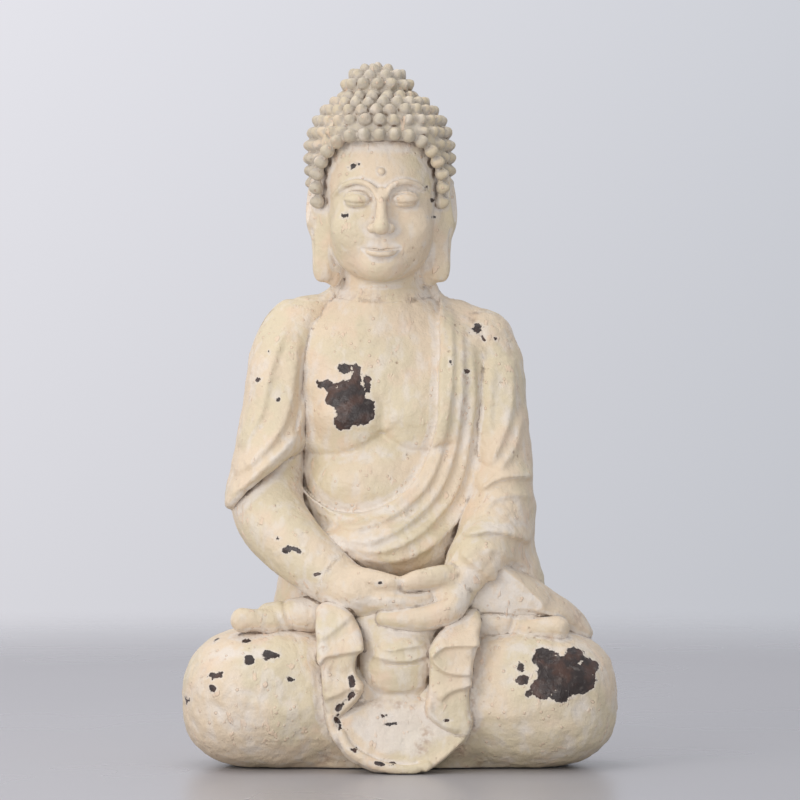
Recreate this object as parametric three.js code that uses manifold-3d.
// A seated meditating figure, 600 mm tall, cast in hollow and solid sections that are
// bedded on each other and pinned with dowels, then closed below with a screwed base plate.
// Millimetres, +Z up, the figure faces -Y, origin on the floor under the middle of the figure.
// "Right" and "left" are the figure's own: its right arm is on the -X side.

import * as THREE from "three";
import { mergeVertices } from "three/addons/utils/BufferGeometryUtils.js";
import Module from "manifold-3d";

const wasm = await Module();
wasm.setup();
const { Manifold, Mesh: SolidMesh } = wasm;

// ---- Driving dimensions ----

// Floor line and the joints between the big sections
const PAD_PROUD = 1; // how far the pads stand below the casting's rim
const LAP_JOINT_Z = 128; // lap section ends, torso section begins
const TORSO_HEIGHT = 268; // lap joint to neck joint
const BED_GAP = 0.35; // mortar or glue line between two sections

// Crossed legs
const LAP_WIDTH = 372; // across the knees
const SEAT_BACK_Y = 122; // back of the seat
const KNEE_RADIUS_X = 64;
const KNEE_RADIUS_Y = 76;
const KNEE_TOP_Z = 117;
const KNEE_Z = 50; // height of the knee's widest point
const KNEE_Y = -30;
const THIGH_RADIUS = 62;
const SHIN_RADIUS = 56;

// Torso
const TORSO_CENTRE_X = -8; // the figure leans a little to its right
const CHEST_HALF_WIDTH = 98;
const CHEST_HALF_DEPTH = 57;
const HIP_HALF_WIDTH = 108;
const HIP_HALF_DEPTH = 72;
const SEAT_Y = 42; // middle of the hips
const TORSO_Y = 31;

// Arms
const ARM_RADIUS = 29;
const FOREARM_RADIUS = 28;
const WRIST_RADIUS = 20;
const ELBOW_DROP = 165; // neck joint down to the elbow
const HEM_LENGTH = 150; // neck joint down to the inner end of the right sleeve's hem
const HEM_SLOPE = 38; // degrees, how steeply the right sleeve's hem falls outwards

// Hands
const HAND_Y = -74;
const FINGER_RADIUS = 8.5;
const FINGER_PITCH = 14;
const HAND_RISE = 20; // middle of the hands above the top of the knees

// Feet
const FOOT_LENGTH = 84;
const FOOT_HALF_WIDTH = 19;
const FOOT_HALF_HEIGHT = 13;
const TOE_RADIUS = 8;

// Robe front, hanging between the knees
const APRON_HALF_WIDTH = 56;
const APRON_FRONT_Y = -124;
const FOLD_HALF_WIDTH = 19;

// Head
const HEAD_X = -15;
const HEAD_Y = 24;
const HEAD_HALF_WIDTH = 50;
const HEAD_HALF_DEPTH = 64;
const HEAD_HEIGHT = 158; // chin to crown, without the hair
const CHIN_RISE = 18; // chin above the neck joint
const NECK_RADIUS = 38;
const EAR_LENGTH = 92;
const LOBE_RISE = 1; // lobe's tip above the chin
const EAR_BACK = 10; // middle of the ear behind the middle of the head
const EAR_HALF_DEPTH = 17;
const EAR_HALF_THICKNESS = 6.5;
const LOBE_HALF_HEIGHT = 26;
const SHELL_HALF_HEIGHT = 28;
const SKULL_SHIFT = 12; // skull above and face below the middle of the head

// Hair
const HAIR_THICKNESS = 7;
const CURL_RADIUS = 7.6;
const CURL_HEIGHT = 5;
const CURL_SPACING = 16.5;
const TOPKNOT_RADIUS = 33;
const TOPKNOT_RISE = 21; // top of the topknot above the top of the hair cap
const HAIRLINE_RISE = 46; // hairline above the middle of the head, in the plane of the face
const HAIRLINE_SLOPE = 0.9; // how far the hairline falls for each millimetre towards the back
const NAPE_RISE = 38; // back hairline above the chin
const URNA_RADIUS = 3.2;
const URNA_RISE = 30; // above the middle of the head

// Castings
const WALL = 8;
const DECK_HOLE_RADIUS = 26; // joins the lap and torso hollows

// Dowels
const NECK_DOWEL_RADIUS = 8;
const NECK_DOWEL_LENGTH = 64;
const WAIST_DOWEL_RADIUS = 5;
const WAIST_DOWEL_LENGTH = 44;
const WAIST_BOSS_RADIUS = 13;
const DOWEL_CLEARANCE = 0.3;

// Base plate, an oval board let into the underside, its screws and its pads
const PLATE_HALF_WIDTH = 122;
const PLATE_HALF_DEPTH = 66;
const PLATE_Y = 14;
const PLATE_THICKNESS = 6;
const PLATE_CLEARANCE = 0.6;
const PLATE_RECESS = 3; // plate's underside above the casting's rim
const LEDGE_WIDTH = 17; // what the plate bears on
const LEDGE_THICKNESS = 7;
const VENT_RADIUS = 7;
const SCREW_COUNT = 6;
const SCREW_SHANK_RADIUS = 2;
const SCREW_HEAD_RADIUS = 4.2;
const SCREW_HEAD_HEIGHT = 2.4;
const SCREW_LENGTH = 22;
const SCREW_CLEARANCE = 0.3;
const SCREW_BOSS_RADIUS = 7;
const PAD_RADIUS = 11;
const PAD_GLUE = 0.3;

// Facets
const ROUND = 16;
const LIMB_ROUND = 12;
const SMALL_ROUND = 8;
const CURL_SIDES = 4;
const TORSO_STEPS = 12;
const HUGE = 2000;
const LEVEL = [0, 0, 0]; // no tilt

// ---- Places that follow from the sizes ----

const RIM_Z = PAD_PROUD;
const NECK_JOINT_Z = LAP_JOINT_Z + TORSO_HEIGHT;
const KNEE_X = LAP_WIDTH / 2 - KNEE_RADIUS_X;
const SHOULDER_Z = NECK_JOINT_Z - 32;
const SHOULDER_X = CHEST_HALF_WIDTH - ARM_RADIUS * 0.35;
const ELBOW_Z = NECK_JOINT_Z - ELBOW_DROP;
const HAND_Z = KNEE_TOP_Z + HAND_RISE;
const CHIN_Z = NECK_JOINT_Z + CHIN_RISE;
const HEAD_Z = CHIN_Z + HEAD_HEIGHT / 2;
const PLATE_Z = RIM_Z + PLATE_RECESS;
const PLATE_TOP_Z = PLATE_Z + PLATE_THICKNESS;

// ---- Solids ----

// A closed BufferGeometry as a manifold solid.
function solidOf(geometry) {
  const g = geometry.index ? geometry.toNonIndexed() : geometry.clone();
  const bare = new THREE.BufferGeometry();
  bare.setAttribute("position", g.getAttribute("position"));
  const merged = mergeVertices(bare, 1e-4);
  const vertProperties = merged.attributes.position.array;
  const triVerts = new Uint32Array(merged.index.array);
  return new Manifold(new SolidMesh({ numProp: 3, vertProperties, triVerts }));
}

function geometryOf(solid) {
  const mesh = solid.getMesh();
  const geometry = new THREE.BufferGeometry();
  const position = new THREE.BufferAttribute(mesh.vertProperties, mesh.numProp);
  geometry.setAttribute("position", position);
  geometry.setIndex(new THREE.BufferAttribute(mesh.triVerts, 1));
  return geometry;
}

const union = (solids) => solids.reduce((all, solid) => all.add(solid));

const cut = (solid, ...cutters) => cutters.reduce((left, cutter) => left.subtract(cutter), solid);

function ellipsoid([x, y, z], [rx, ry, rz], tilt = [0, 0, 0], sides = ROUND) {
  const geometry = new THREE.SphereGeometry(1, sides, Math.round(sides / 2));
  geometry.scale(rx, ry, rz);
  geometry.applyMatrix4(new THREE.Matrix4().makeRotationFromEuler(new THREE.Euler(...tilt)));
  geometry.translate(x, y, z);
  return solidOf(geometry);
}

function cylinder([x, y, z], radius, height, sides = SMALL_ROUND) {
  const geometry = new THREE.CylinderGeometry(radius, radius, height, sides);
  geometry.rotateX(Math.PI / 2);
  geometry.translate(x, y, z + height / 2);
  return solidOf(geometry);
}

function box([x0, y0, z0], [x1, y1, z1]) {
  const geometry = new THREE.BoxGeometry(x1 - x0, y1 - y0, z1 - z0);
  geometry.translate((x0 + x1) / 2, (y0 + y1) / 2, (z0 + z1) / 2);
  return solidOf(geometry);
}

const above = (z) => box([-HUGE, -HUGE, z], [HUGE, HUGE, HUGE]);
const below = (z) => box([-HUGE, -HUGE, -HUGE], [HUGE, HUGE, z]);

// Everything under a plane through a point. The plane starts level, then turns about X and about Y.
function under([x, y, z], aboutX, aboutY) {
  const geometry = new THREE.BoxGeometry(HUGE, HUGE, HUGE);
  geometry.translate(0, 0, -HUGE / 2);
  geometry.rotateX(aboutX);
  geometry.rotateY(aboutY);
  geometry.translate(x, y, z);
  return solidOf(geometry);
}

// Closes rings of equal length, with a pole at each end, into one solid.
function skin(rings, firstPole, lastPole) {
  const sides = rings[0].length;
  const points = [firstPole, ...rings.flat(), lastPole];
  const last = points.length - 1;
  const at = (ring, side) => 1 + ring * sides + (side % sides);
  const faces = [];
  for (let side = 0; side < sides; side++) {
    faces.push(0, at(0, side + 1), at(0, side));
    faces.push(last, at(rings.length - 1, side), at(rings.length - 1, side + 1));
    for (let ring = 0; ring < rings.length - 1; ring++) {
      faces.push(at(ring, side), at(ring, side + 1), at(ring + 1, side + 1));
      faces.push(at(ring, side), at(ring + 1, side + 1), at(ring + 1, side));
    }
  }
  const geometry = new THREE.BufferGeometry().setFromPoints(points);
  geometry.setIndex(faces);
  return solidOf(geometry);
}

// Level oval rings stacked up Z through stations [x, y, z, half width, half depth].
function stack(stations, grow, steps, sides = ROUND) {
  const centres = new THREE.CatmullRomCurve3(stations.map(([x, y, z]) => new THREE.Vector3(x, y, z)));
  const sizes = new THREE.CatmullRomCurve3(stations.map((s) => new THREE.Vector3(s[3], s[4], 0)));
  const rings = [];
  for (let step = 0; step <= steps; step++) {
    const centre = centres.getPoint(step / steps);
    const size = sizes.getPoint(step / steps);
    const ring = [];
    for (let side = 0; side < sides; side++) {
      const angle = (side / sides) * Math.PI * 2;
      const x = centre.x + (size.x + grow) * Math.cos(angle);
      const y = centre.y + (size.y + grow) * Math.sin(angle);
      ring.push(new THREE.Vector3(x, y, centre.z));
    }
    rings.push(ring);
  }
  const lowest = centres.getPoint(0);
  const highest = centres.getPoint(1);
  return skin(rings, lowest, highest);
}

// A round-ended limb through stations [x, y, z, radius].
function limb(stations, grow, steps = 8, sides = LIMB_ROUND, capRings = 3) {
  const path = new THREE.CatmullRomCurve3(stations.map(([x, y, z]) => new THREE.Vector3(x, y, z)));
  const sizes = new THREE.CatmullRomCurve3(stations.map((s) => new THREE.Vector3(s[3], 0, 0)));
  const frames = path.computeFrenetFrames(steps, false);
  const rings = [];
  const ringAt = (step, along, scale) => {
    const centre = path.getPointAt(step / steps).addScaledVector(frames.tangents[step], along);
    const radius = (sizes.getPoint(path.getUtoTmapping(step / steps)).x + grow) * scale;
    return Array.from({ length: sides }, (_, side) => {
      const angle = (side / sides) * Math.PI * 2;
      return centre
        .clone()
        .addScaledVector(frames.normals[step], radius * Math.cos(angle))
        .addScaledVector(frames.binormals[step], radius * Math.sin(angle));
    });
  };
  const firstRadius = stations[0][3] + grow;
  const lastRadius = stations[stations.length - 1][3] + grow;
  for (let cap = capRings - 1; cap > 0; cap--) {
    const angle = (cap / capRings) * (Math.PI / 2);
    rings.push(ringAt(0, -firstRadius * Math.sin(angle), Math.cos(angle)));
  }
  for (let step = 0; step <= steps; step++) rings.push(ringAt(step, 0, 1));
  for (let cap = 1; cap < capRings; cap++) {
    const angle = (cap / capRings) * (Math.PI / 2);
    rings.push(ringAt(steps, lastRadius * Math.sin(angle), Math.cos(angle)));
  }
  const first = path.getPointAt(0).addScaledVector(frames.tangents[0], -firstRadius);
  const last = path.getPointAt(1).addScaledVector(frames.tangents[steps], lastRadius);
  return skin(rings, first, last);
}

const sides = [-1, 1]; // the figure's right, then its left

// ---- Sections. Each takes grow, which swells it all round, so it can cut its neighbours. ----

// Both thighs, knees and shins with the seat behind them.
function lapMass(grow) {
  const seat = [
    [0, SEAT_Y, -14, HIP_HALF_WIDTH - 6, HIP_HALF_DEPTH - 4],
    [0, SEAT_Y, KNEE_Z, HIP_HALF_WIDTH + 8, SEAT_BACK_Y - SEAT_Y],
    [0, SEAT_Y, LAP_JOINT_Z - 8, HIP_HALF_WIDTH, HIP_HALF_DEPTH],
    [0, SEAT_Y, LAP_JOINT_Z + 24, HIP_HALF_WIDTH - 4, HIP_HALF_DEPTH - 4],
  ];
  const pillow = [
    [0, PLATE_Y - 4, -14, PLATE_HALF_WIDTH + 8, PLATE_HALF_DEPTH + 10],
    [0, PLATE_Y - 4, KNEE_Z * 0.6, KNEE_X + 26, PLATE_HALF_DEPTH + 24],
    [0, PLATE_Y - 4, KNEE_TOP_Z * 0.6, KNEE_X + 16, PLATE_HALF_DEPTH + 20],
    [0, PLATE_Y, KNEE_TOP_Z, KNEE_X - 14, PLATE_HALF_DEPTH - 4],
  ];
  const parts = [stack(pillow, grow, 6), stack(seat, grow, 6)];
  for (const side of sides) {
    const knee = [side * KNEE_X, KNEE_Y, KNEE_Z];
    const kneeSize = [KNEE_RADIUS_X + grow, KNEE_RADIUS_Y + grow, KNEE_TOP_Z - KNEE_Z + grow];
    const hip = [side * HIP_HALF_WIDTH * 0.6, SEAT_Y, KNEE_Z + 6, THIGH_RADIUS - 2];
    const thighEnd = [side * (KNEE_X - 8), KNEE_Y + 10, KNEE_Z, THIGH_RADIUS];
    const shinStart = [side * (KNEE_X - 12), KNEE_Y - 16, KNEE_Z, SHIN_RADIUS];
    const ankle = [side * 16, KNEE_Y - 24, KNEE_Z - 4, SHIN_RADIUS - 6];
    const thigh = limb([hip, thighEnd], grow, 2);
    const shin = limb([shinStart, ankle], grow, 2);
    parts.push(ellipsoid(knee, kneeSize), thigh, shin);
  }
  return union(parts);
}

function lap(grow) {
  return lapMass(grow).intersect(above(RIM_Z)).intersect(below(LAP_JOINT_Z - BED_GAP + grow));
}

// A share of the way up the torso, from the lap joint to the neck joint.
const torsoAt = (share) => LAP_JOINT_Z + TORSO_HEIGHT * share;

const torsoStations = [
  [0, SEAT_Y, LAP_JOINT_Z, HIP_HALF_WIDTH, HIP_HALF_DEPTH],
  [TORSO_CENTRE_X * 0.25, 36, torsoAt(0.19), HIP_HALF_WIDTH - 14, HIP_HALF_DEPTH - 10],
  [TORSO_CENTRE_X * 0.5, TORSO_Y, torsoAt(0.42), CHEST_HALF_WIDTH - 9, CHEST_HALF_DEPTH + 2],
  [TORSO_CENTRE_X * 0.75, TORSO_Y, torsoAt(0.66), CHEST_HALF_WIDTH - 2, CHEST_HALF_DEPTH],
  [TORSO_CENTRE_X, TORSO_Y + 3, torsoAt(0.84), CHEST_HALF_WIDTH, CHEST_HALF_DEPTH - 6],
  [TORSO_CENTRE_X, TORSO_Y + 6, torsoAt(0.93), CHEST_HALF_WIDTH - 12, CHEST_HALF_DEPTH - 13],
  [HEAD_X, TORSO_Y + 7, NECK_JOINT_Z, NECK_RADIUS + 2, NECK_RADIUS],
];

function torso(grow) {
  return stack(torsoStations, grow, TORSO_STEPS).intersect(below(NECK_JOINT_Z + Math.min(grow, 0)));
}

function head(grow) {
  const neck = [
    [HEAD_X, TORSO_Y + 7, NECK_JOINT_Z + BED_GAP, NECK_RADIUS + 2, NECK_RADIUS],
    [HEAD_X, TORSO_Y + 4, CHIN_Z, NECK_RADIUS - 1, NECK_RADIUS - 2],
    [HEAD_X, TORSO_Y, CHIN_Z + 40, NECK_RADIUS - 2, NECK_RADIUS - 2],
  ];
  const half = HEAD_HEIGHT / 2 - SKULL_SHIFT;
  const skull = [HEAD_X, HEAD_Y + 6, HEAD_Z + SKULL_SHIFT];
  const face = [HEAD_X, HEAD_Y - 16, HEAD_Z - SKULL_SHIFT];
  const chin = [HEAD_X, HEAD_Y - 36, CHIN_Z + 20];
  const parts = [
    stack(neck, grow, 5),
    ellipsoid(skull, [HEAD_HALF_WIDTH + grow, HEAD_HALF_DEPTH + grow, half + grow]),
    ellipsoid(face, [HEAD_HALF_WIDTH - 3 + grow, 46 + grow, half + grow]),
    ellipsoid(chin, [25 + grow, 19 + grow, 20 + grow], LEVEL, LIMB_ROUND),
    limb(noseStations, grow, 4, SMALL_ROUND, 2),
    ...sides.map((side) => ear(side, grow)),
  ];
  return union(parts);
}

const noseStations = [
  [HEAD_X, HEAD_Y - HEAD_HALF_DEPTH + 3, HEAD_Z + 4, 5],
  [HEAD_X, HEAD_Y - HEAD_HALF_DEPTH - 1, HEAD_Z - 14, 6.5],
  [HEAD_X, HEAD_Y - HEAD_HALF_DEPTH - 3, HEAD_Z - 26, 8.5],
];

function ear(side, grow) {
  const x = HEAD_X + side * (HEAD_HALF_WIDTH + 4);
  const half = EAR_LENGTH / 2;
  const middle = CHIN_Z + LOBE_RISE + half;
  const thin = EAR_HALF_THICKNESS + grow;
  const lean = [0, side * 0.1, 0];
  const lobePlace = [x, HEAD_Y + EAR_BACK - 2, middle - half + LOBE_HALF_HEIGHT];
  const lobeSize = [thin, 13 + grow, LOBE_HALF_HEIGHT + grow];
  const shellPlace = [x, HEAD_Y + EAR_BACK, middle + half - SHELL_HALF_HEIGHT];
  const shellSize = [thin, EAR_HALF_DEPTH + grow, SHELL_HALF_HEIGHT + grow];
  const rootPlace = [x - side * 6, HEAD_Y + 12, middle];
  const rootSize = [9 + grow, 12 + grow, half - 8 + grow];
  return union([
    ellipsoid(lobePlace, lobeSize, lean, LIMB_ROUND),
    ellipsoid(shellPlace, shellSize, lean, LIMB_ROUND),
    ellipsoid(rootPlace, rootSize, LEVEL, SMALL_ROUND),
  ]);
}

// The scalp under the curls, open over the face, which leaves a hairline that sweeps down to the ears.
function hairCap(grow) {
  const across = HEAD_HALF_WIDTH + HAIR_THICKNESS + grow;
  const deep = HEAD_HALF_DEPTH + HAIR_THICKNESS + grow;
  const high = HEAD_HEIGHT / 2 - SKULL_SHIFT + HAIR_THICKNESS + grow;
  const scalp = ellipsoid([HEAD_X, HEAD_Y + 8, HEAD_Z + SKULL_SHIFT], [across, deep, high]);
  const hairline = [HEAD_X, HEAD_Y - HEAD_HALF_DEPTH, HEAD_Z + HAIRLINE_RISE - grow];
  const face = under(hairline, -Math.atan(HAIRLINE_SLOPE), 0);
  const nape = below(CHIN_Z + NAPE_RISE - grow);
  return cut(scalp, face, nape);
}

function topknot(grow) {
  const top = HEAD_Z + HEAD_HEIGHT / 2 + HAIR_THICKNESS + TOPKNOT_RISE - CURL_HEIGHT;
  const half = TOPKNOT_RISE + 4;
  const size = [TOPKNOT_RADIUS + grow, TOPKNOT_RADIUS + 3 + grow, half + grow];
  return ellipsoid([HEAD_X - 2, HEAD_Y + 12, top - half], size);
}

function urna(grow) {
  const place = [HEAD_X, HEAD_Y - HEAD_HALF_DEPTH + 6, HEAD_Z + URNA_RISE];
  const radius = URNA_RADIUS + grow;
  return ellipsoid(place, [radius, radius, radius], LEVEL, SMALL_ROUND);
}

function rightSleeve(grow) {
  const x = TORSO_CENTRE_X - SHOULDER_X;
  const sleeve = [
    [x + 22, TORSO_Y + 6, NECK_JOINT_Z - 6, ARM_RADIUS - 11, ARM_RADIUS - 4],
    [x + 4, TORSO_Y + 3, SHOULDER_Z, ARM_RADIUS - 1, ARM_RADIUS + 9],
    [x - 7, TORSO_Y - 4, (SHOULDER_Z * 2 + ELBOW_Z) / 3, ARM_RADIUS + 2, ARM_RADIUS + 14],
    [x - 13, TORSO_Y - 12, (SHOULDER_Z + ELBOW_Z * 2) / 3, ARM_RADIUS + 5, ARM_RADIUS + 19],
    [x - 24, TORSO_Y - 22, ELBOW_Z, ARM_RADIUS + 4, ARM_RADIUS + 20],
  ].reverse();
  const hemAngle = -THREE.MathUtils.degToRad(HEM_SLOPE);
  const hem = under([x + ARM_RADIUS, TORSO_Y, NECK_JOINT_Z - HEM_LENGTH + 30 - grow], 0, hemAngle);
  return cut(stack(sleeve, grow, 9), hem);
}

function rightForearm(grow) {
  const x = TORSO_CENTRE_X - SHOULDER_X;
  return limb(
    [
      [x - 13, TORSO_Y - 18, ELBOW_Z + 14, FOREARM_RADIUS + 3],
      [x + 2, TORSO_Y - 46, (ELBOW_Z * 3 + HAND_Z) / 4 - 6, FOREARM_RADIUS + 2],
      [x * 0.72, HAND_Y + 24, (ELBOW_Z + HAND_Z * 3) / 4, FOREARM_RADIUS - 1],
      [x * 0.44, HAND_Y + 6, HAND_Z + 6, WRIST_RADIUS],
    ],
    grow,
  );
}

function leftSleeve(grow) {
  const x = TORSO_CENTRE_X + SHOULDER_X;
  return union([
    limb(
      [
        [x - 8, TORSO_Y + 3, SHOULDER_Z, ARM_RADIUS + 1],
        [x + 1, TORSO_Y, (SHOULDER_Z * 2 + ELBOW_Z) / 3, ARM_RADIUS],
        [x + 4, TORSO_Y - 10, (SHOULDER_Z + ELBOW_Z * 2) / 3, ARM_RADIUS + 2],
        [x + 1, TORSO_Y - 22, ELBOW_Z - 10, ARM_RADIUS + 5],
      ],
      grow,
    ),
    limb(
      [
        [x + 1, TORSO_Y - 22, ELBOW_Z - 10, ARM_RADIUS + 5],
        [x - 10, TORSO_Y - 52, (ELBOW_Z + HAND_Z) / 2, ARM_RADIUS + 3],
        [x * 0.7, HAND_Y + 16, HAND_Z + 14, WRIST_RADIUS + 6],
      ],
      grow,
      6,
    ),
  ]);
}

// The left sleeve's spare cloth, which spreads over the thigh.
function leftDrape(grow) {
  const x = TORSO_CENTRE_X + SHOULDER_X;
  return limb(
    [
      [x + 3, TORSO_Y - 24, ELBOW_Z - 34, ARM_RADIUS - 2],
      [x + 12, TORSO_Y - 34, HAND_Z + 8, ARM_RADIUS - 3],
      [KNEE_X + 8, TORSO_Y - 42, KNEE_TOP_Z - 2, ARM_RADIUS - 10],
      [KNEE_X + 26, TORSO_Y - 44, KNEE_TOP_Z - 14, ARM_RADIUS - 14],
    ],
    grow,
  );
}

// Four fingers side by side, a palm and a thumb. The hand lies palm up and points towards +X times side.
function hand(side, wristX, level, bend, grow) {
  const parts = [];
  const palm = [wristX + side * 20, HAND_Y + 6, level];
  parts.push(ellipsoid(palm, [27 + grow, 27 + grow, 10 + grow], LEVEL, LIMB_ROUND));
  for (let finger = 0; finger < 4; finger++) {
    const y = HAND_Y - FINGER_PITCH * 1.2 + finger * FINGER_PITCH;
    const reach = [52, 58, 56, 46][finger];
    const knuckle = [wristX + side * 26, y, level, FINGER_RADIUS];
    const middle = [wristX + side * 44, y - bend, level - 1, FINGER_RADIUS - 0.5];
    const tip = [wristX + side * reach, y - bend * 0.5, level + 1, FINGER_RADIUS - 1.5];
    parts.push(limb([knuckle, middle, tip], grow, 3, 8, 2));
  }
  const thumb = [
    [wristX + side * 8, HAND_Y + 22, level + 6, FINGER_RADIUS + 2],
    [wristX + side * 24, HAND_Y + 20, level + 14, FINGER_RADIUS + 0.5],
    [wristX + side * 44, HAND_Y + 16, level + 17, FINGER_RADIUS - 1],
  ];
  parts.push(limb(thumb, grow, 4, 8, 2));
  return union(parts);
}

const rightHand = (grow) => hand(1, -44, HAND_Z + 5, 2, grow);
const leftHand = (grow) => hand(-1, 48, HAND_Z - 10, 3, grow);

// A foot lying sole up on the opposite thigh, its toes pointing outwards.
function foot(side, grow) {
  const heelX = side * (KNEE_X - 46);
  const level = KNEE_TOP_Z + FOOT_HALF_HEIGHT * 0.35;
  const y = KNEE_Y - 14;
  const sole = [heelX + side * FOOT_LENGTH * 0.5, y, level];
  const parts = [
    limb(
      [
        [heelX, y + 4, level + 1, FOOT_HALF_HEIGHT + 2],
        [heelX + side * FOOT_LENGTH * 0.3, y, level + 1, FOOT_HALF_HEIGHT],
        [heelX + side * FOOT_LENGTH * 0.62, y - 2, level, FOOT_HALF_HEIGHT - 1],
      ],
      grow,
      4,
      12,
    ),
    ellipsoid(sole, [28 + grow, FOOT_HALF_WIDTH + grow, 11 + grow], LEVEL, LIMB_ROUND),
  ];
  for (let toe = 0; toe < 5; toe++) {
    const radius = TOE_RADIUS - toe * 0.7;
    const toeY = y - FOOT_HALF_WIDTH + 6 + toe * 8;
    const reach = FOOT_LENGTH * 0.84 - toe * 3.2;
    const size = [radius + 4 + grow, radius - 1 + grow, radius + grow];
    parts.push(ellipsoid([heelX + side * reach, toeY, level], size, LEVEL, SMALL_ROUND));
  }
  return union(parts);
}

// The robe's end, which falls from under the hands and fans out on the floor.
function apron(grow) {
  const fanSize = [APRON_HALF_WIDTH + 8 + grow, 32 + grow, 50 + grow];
  const fan = ellipsoid([0, APRON_FRONT_Y + 32, 14], fanSize);
  const fall = limb(
    [
      [0, APRON_FRONT_Y + 38, HAND_Z - 26, 26],
      [2, APRON_FRONT_Y + 36, KNEE_Z + 14, 34],
      [2, APRON_FRONT_Y + 42, RIM_Z + 18, 40],
    ],
    grow,
  );
  return union([fan, fall]).intersect(above(RIM_Z));
}

// A pleated strip of robe that falls on each side of the apron.
function fold(side, grow) {
  const x = side * (APRON_HALF_WIDTH - FOLD_HALF_WIDTH * 0.4);
  return limb(
    [
      [x, APRON_FRONT_Y + 36, KNEE_TOP_Z + 4, FOLD_HALF_WIDTH - 4],
      [x - side * 2, APRON_FRONT_Y + 26, KNEE_Z + 26, FOLD_HALF_WIDTH],
      [x + side * 2, APRON_FRONT_Y + 23, KNEE_Z - 8, FOLD_HALF_WIDTH],
      [x - side * 4, APRON_FRONT_Y + 25, RIM_Z + 26, FOLD_HALF_WIDTH],
    ],
    grow,
  ).intersect(above(RIM_Z));
}

// ---- Curls: rows of little cones over an oval, each row set half a curl from the last ----

function curls(centre, radii, firstRow, keep, grow) {
  const cones = [];
  const rowStep = CURL_SPACING * 0.87;
  const meanRadius = (radii[1] + radii[2]) / 2;
  const rows = Math.floor((Math.PI * meanRadius) / rowStep);
  for (let row = firstRow; row < rows; row++) {
    const polar = (row * rowStep) / meanRadius;
    const around = Math.PI * (radii[0] + radii[1]) * Math.sin(polar);
    const count = Math.max(1, Math.floor(around / CURL_SPACING));
    for (let index = 0; index < count; index++) {
      const angle = ((index + (row % 2) / 2) / count) * Math.PI * 2 - Math.PI / 2;
      const unit = new THREE.Vector3().setFromSphericalCoords(1, polar, angle);
      const out = new THREE.Vector3(unit.z / radii[0], unit.x / radii[1], unit.y / radii[2]).normalize();
      const place = new THREE.Vector3(unit.z * radii[0], unit.x * radii[1], unit.y * radii[2]);
      place.add(new THREE.Vector3(...centre));
      if (!keep(place)) continue;
      const root = 3;
      const cone = new THREE.ConeGeometry(CURL_RADIUS + grow, CURL_HEIGHT + root + grow, CURL_SIDES);
      cone.translate(0, (CURL_HEIGHT + root + grow) / 2 - root, 0);
      const turn = new THREE.Quaternion().setFromUnitVectors(new THREE.Vector3(0, 1, 0), out);
      cone.applyQuaternion(turn);
      cone.translate(place.x, place.y, place.z);
      cones.push(solidOf(cone));
    }
  }
  return union(cones);
}

const crownZ = HEAD_Z + HEAD_HEIGHT / 2 + HAIR_THICKNESS;

// The hairline is a slope that falls from above the brow back to the ears, and the nape's is level.
function onScalp({ x, y, z }) {
  const front = HEAD_Y - HEAD_HALF_DEPTH;
  const line = HEAD_Z + HAIRLINE_RISE - (y - front) * HAIRLINE_SLOPE + CURL_RADIUS * 0.8;
  const nape = CHIN_Z + NAPE_RISE + CURL_RADIUS * 0.6;
  const underTopknot = Math.hypot(x - HEAD_X, y - HEAD_Y - 12) < TOPKNOT_RADIUS && z > HEAD_Z;
  const besideEar = Math.abs(y - HEAD_Y - EAR_BACK) < EAR_HALF_DEPTH + CURL_RADIUS;
  const overEar = z > CHIN_Z + LOBE_RISE + EAR_LENGTH + CURL_RADIUS;
  return z > line && z > nape && !underTopknot && (overEar || !besideEar);
}

function curlyCap(grow) {
  const high = HEAD_HEIGHT / 2 - SKULL_SHIFT + HAIR_THICKNESS;
  const radii = [HEAD_HALF_WIDTH + HAIR_THICKNESS, HEAD_HALF_DEPTH + HAIR_THICKNESS, high];
  return hairCap(grow).add(curls([HEAD_X, HEAD_Y + 8, HEAD_Z + SKULL_SHIFT], radii, 2, onScalp, grow));
}

function curlyTopknot(grow) {
  const half = TOPKNOT_RISE + 4;
  const middle = crownZ + TOPKNOT_RISE - CURL_HEIGHT - half;
  const radii = [TOPKNOT_RADIUS, TOPKNOT_RADIUS + 3, half];
  const shown = ({ z }) => z > middle;
  return topknot(grow).add(curls([HEAD_X - 2, HEAD_Y + 12, middle], radii, 0, shown, grow));
}

// ---- Dowels, base plate, screws and pads ----

const neckDowelZ = NECK_JOINT_Z - NECK_DOWEL_LENGTH / 2;
const waistDowelZ = LAP_JOINT_Z - WAIST_DOWEL_LENGTH / 2;
const waistDowelX = (side) => side * (HIP_HALF_WIDTH - WALL - WAIST_BOSS_RADIUS);

function neckDowel(grow) {
  const place = [HEAD_X, TORSO_Y + 7, neckDowelZ - grow];
  return cylinder(place, NECK_DOWEL_RADIUS + grow, NECK_DOWEL_LENGTH + grow * 2, 20);
}

function waistDowel(side, grow) {
  const place = [waistDowelX(side), SEAT_Y, waistDowelZ - grow];
  return cylinder(place, WAIST_DOWEL_RADIUS + grow, WAIST_DOWEL_LENGTH + grow * 2);
}

// An oval prism with the plate's outline.
function plateOval(grow, low, high) {
  const prism = new THREE.CylinderGeometry(1, 1, high - low, ROUND * 2);
  prism.rotateX(Math.PI / 2);
  prism.scale(PLATE_HALF_WIDTH + grow, PLATE_HALF_DEPTH + grow, 1);
  prism.translate(0, PLATE_Y, (low + high) / 2);
  return solidOf(prism);
}

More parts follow.
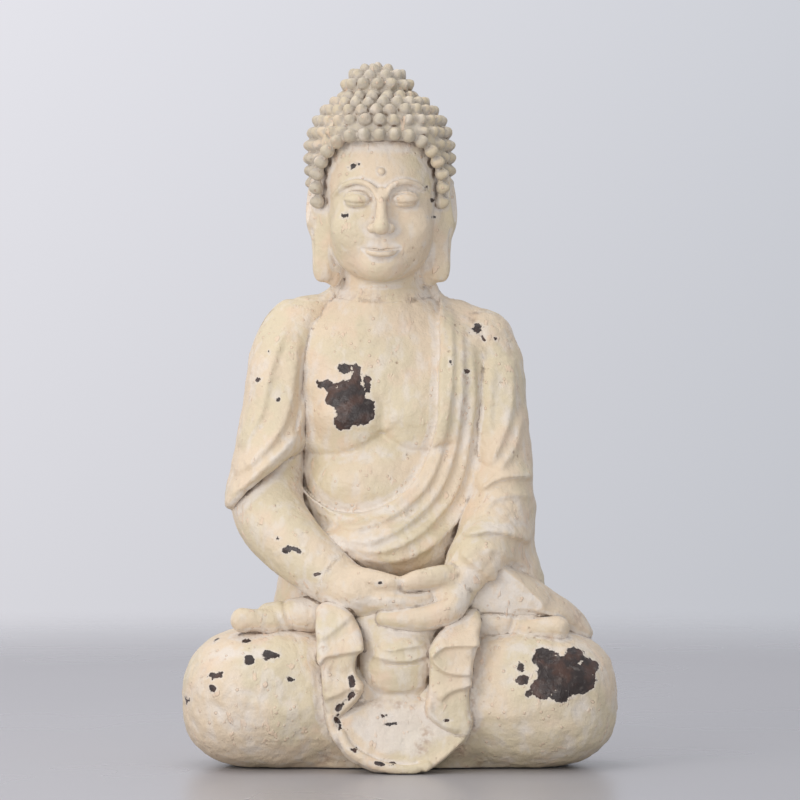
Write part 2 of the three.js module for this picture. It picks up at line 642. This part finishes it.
const screwPlaces = Array.from({ length: SCREW_COUNT }, (_, index) => {
  const angle = ((index + 0.5) / SCREW_COUNT) * Math.PI * 2;
  const x = Math.cos(angle) * (PLATE_HALF_WIDTH - LEDGE_WIDTH / 2);
  const y = PLATE_Y + Math.sin(angle) * (PLATE_HALF_DEPTH - LEDGE_WIDTH / 2);
  return [x, y];
});

// A countersunk screw, its head flush with the plate's underside.
function screw([x, y], grow) {
  const head = cylinder([x, y, PLATE_Z - grow], SCREW_HEAD_RADIUS + grow, SCREW_HEAD_HEIGHT + grow * 2);
  const shank = cylinder([x, y, PLATE_Z], SCREW_SHANK_RADIUS + grow, SCREW_LENGTH + grow);
  return head.add(shank);
}

const padPlaces = sides.flatMap((side) =>
  sides.map((end) => [side * PLATE_HALF_WIDTH * 0.5, PLATE_Y + end * PLATE_HALF_DEPTH * 0.5]),
);

const pad = ([x, y]) => cylinder([x, y, 0], PAD_RADIUS, PLATE_Z - PAD_GLUE, 20);

function basePlate() {
  const vent = cylinder([0, PLATE_Y, 0], VENT_RADIUS, PLATE_TOP_Z * 2, 16);
  const screwHoles = screwPlaces.map((place) => screw(place, SCREW_CLEARANCE));
  return cut(plateOval(0, PLATE_Z, PLATE_TOP_Z), vent, ...screwHoles);
}

// ---- Castings ----

// The lap section is a shell. The plate bears on a ledge round the mouth, and a deck closes its top.
function lapCasting() {
  const mouthTop = PLATE_TOP_Z + PLATE_CLEARANCE;
  const ledgeTop = mouthTop + LEDGE_THICKNESS;
  const deck = LAP_JOINT_Z - BED_GAP - WALL;
  const hollow = lapMass(-WALL).intersect(above(ledgeTop)).intersect(below(deck));
  const rebate = plateOval(PLATE_CLEARANCE, 0, mouthTop);
  const mouth = plateOval(-LEDGE_WIDTH, 0, ledgeTop + 1);
  const bossTop = PLATE_Z + SCREW_LENGTH + WALL;
  const screwBosses = screwPlaces.map(([x, y]) =>
    cylinder([x, y, mouthTop], SCREW_BOSS_RADIUS, bossTop - mouthTop),
  );
  const dowelBosses = sides.map((side) => {
    const low = waistDowelZ - WALL;
    return cylinder([waistDowelX(side), SEAT_Y, low], WAIST_BOSS_RADIUS, deck + 1 - low, 16);
  });
  const shell = cut(lap(0), hollow, rebate, mouth).add(union([...screwBosses, ...dowelBosses]));
  const deckHole = cylinder([0, SEAT_Y, deck - 1], DECK_HOLE_RADIUS, HUGE, ROUND);
  const screwHoles = screwPlaces.map((place) => screw(place, SCREW_CLEARANCE));
  const dowelHoles = sides.map((side) => waistDowel(side, DOWEL_CLEARANCE));
  return cut(shell, deckHole, ...screwHoles, ...dowelHoles);
}

// The torso section is a shell, open where it stands on the lap, and solid under the neck.
function torsoCasting() {
  const solidTop = NECK_DOWEL_LENGTH / 2 + DOWEL_CLEARANCE + WALL / 2;
  const hollow = stack(torsoStations, -WALL, TORSO_STEPS).intersect(below(NECK_JOINT_Z - solidTop));
  const bosses = sides.map((side) => {
    const height = WAIST_DOWEL_LENGTH / 2 + WALL;
    const boss = cylinder([waistDowelX(side), SEAT_Y, LAP_JOINT_Z], WAIST_BOSS_RADIUS + WALL, height, 16);
    return boss.intersect(torso(-WALL / 2));
  });
  const foot = hollow.intersect(below(LAP_JOINT_Z + 1)).translate([0, 0, -1]);
  const shell = cut(torso(0), hollow, foot).add(union(bosses));
  const dowelHoles = sides.map((side) => waistDowel(side, DOWEL_CLEARANCE));
  return cut(shell, neckDowel(DOWEL_CLEARANCE), ...dowelHoles);
}

// The head is hollow above a solid neck, and its hollow vents down the dowel's hole.
function headCasting() {
  const wall = WALL + 2;
  const size = [HEAD_HALF_WIDTH - wall, HEAD_HALF_DEPTH - wall, HEAD_HEIGHT / 2 - 12 - wall];
  const hollow = ellipsoid([HEAD_X, HEAD_Y + 6, HEAD_Z + SKULL_SHIFT], size, LEVEL, 20);
  const vent = cylinder([HEAD_X, TORSO_Y + 7, NECK_JOINT_Z], NECK_DOWEL_RADIUS / 2, HEAD_Z - NECK_JOINT_Z);
  return cut(head(0), hollow, neckDowel(DOWEL_CLEARANCE), vent);
}

// ---- The figure ----

const CREAM = { color: 0xdccfae, roughness: 0.55, metalness: 0 };
const BOARD = { color: 0x6b5a48, roughness: 0.85, metalness: 0 };
const STEEL = { color: 0x8f9092, roughness: 0.4, metalness: 0.9 };
const WOOD = { color: 0xb08a5e, roughness: 0.7, metalness: 0 };
const RUBBER = { color: 0x2a2a2a, roughness: 0.9, metalness: 0 };

const figure = new THREE.Group();
figure.name = "seated_figure";

function place(name, solid, look) {
  const mesh = new THREE.Mesh(geometryOf(solid), new THREE.MeshStandardMaterial(look));
  mesh.name = name;
  figure.add(mesh);
}

// Outer sections in the order they are bedded: each is fitted round those before it.
const sections = [
  ["lap_casting", lap, lapCasting],
  ["torso_casting", torso, torsoCasting],
  ["head_casting", head, headCasting],
  ["topknot_curls", curlyTopknot],
  ["hair_cap_curls", curlyCap],
  ["urna", urna],
  ["right_sleeve", rightSleeve],
  ["left_sleeve", leftSleeve],
  ["right_forearm", rightForearm],
  ["left_sleeve_drape", leftDrape],
  ["right_hand", rightHand],
  ["left_hand", leftHand],
  ["right_foot", (grow) => foot(1, grow)],
  ["left_foot", (grow) => foot(-1, grow)],
  ["robe_apron", apron],
  ["right_robe_fold", (grow) => fold(-1, grow)],
  ["left_robe_fold", (grow) => fold(1, grow)],
];

const fitted = [];
for (const [name, outside, casting] of sections) {
  const solid = casting ? casting() : outside(0);
  place(name, cut(solid, ...fitted), CREAM);
  fitted.push(outside(BED_GAP));
}

place("neck_dowel", neckDowel(0), WOOD);
place("right_waist_dowel", waistDowel(-1, 0), WOOD);
place("left_waist_dowel", waistDowel(1, 0), WOOD);
place("base_plate", basePlate(), BOARD);
screwPlaces.forEach((at, index) => place(`base_screw_${index + 1}`, screw(at, 0), STEEL));
padPlaces.forEach((at, index) => place(`floor_pad_${index + 1}`, pad(at), RUBBER));

export default figure;
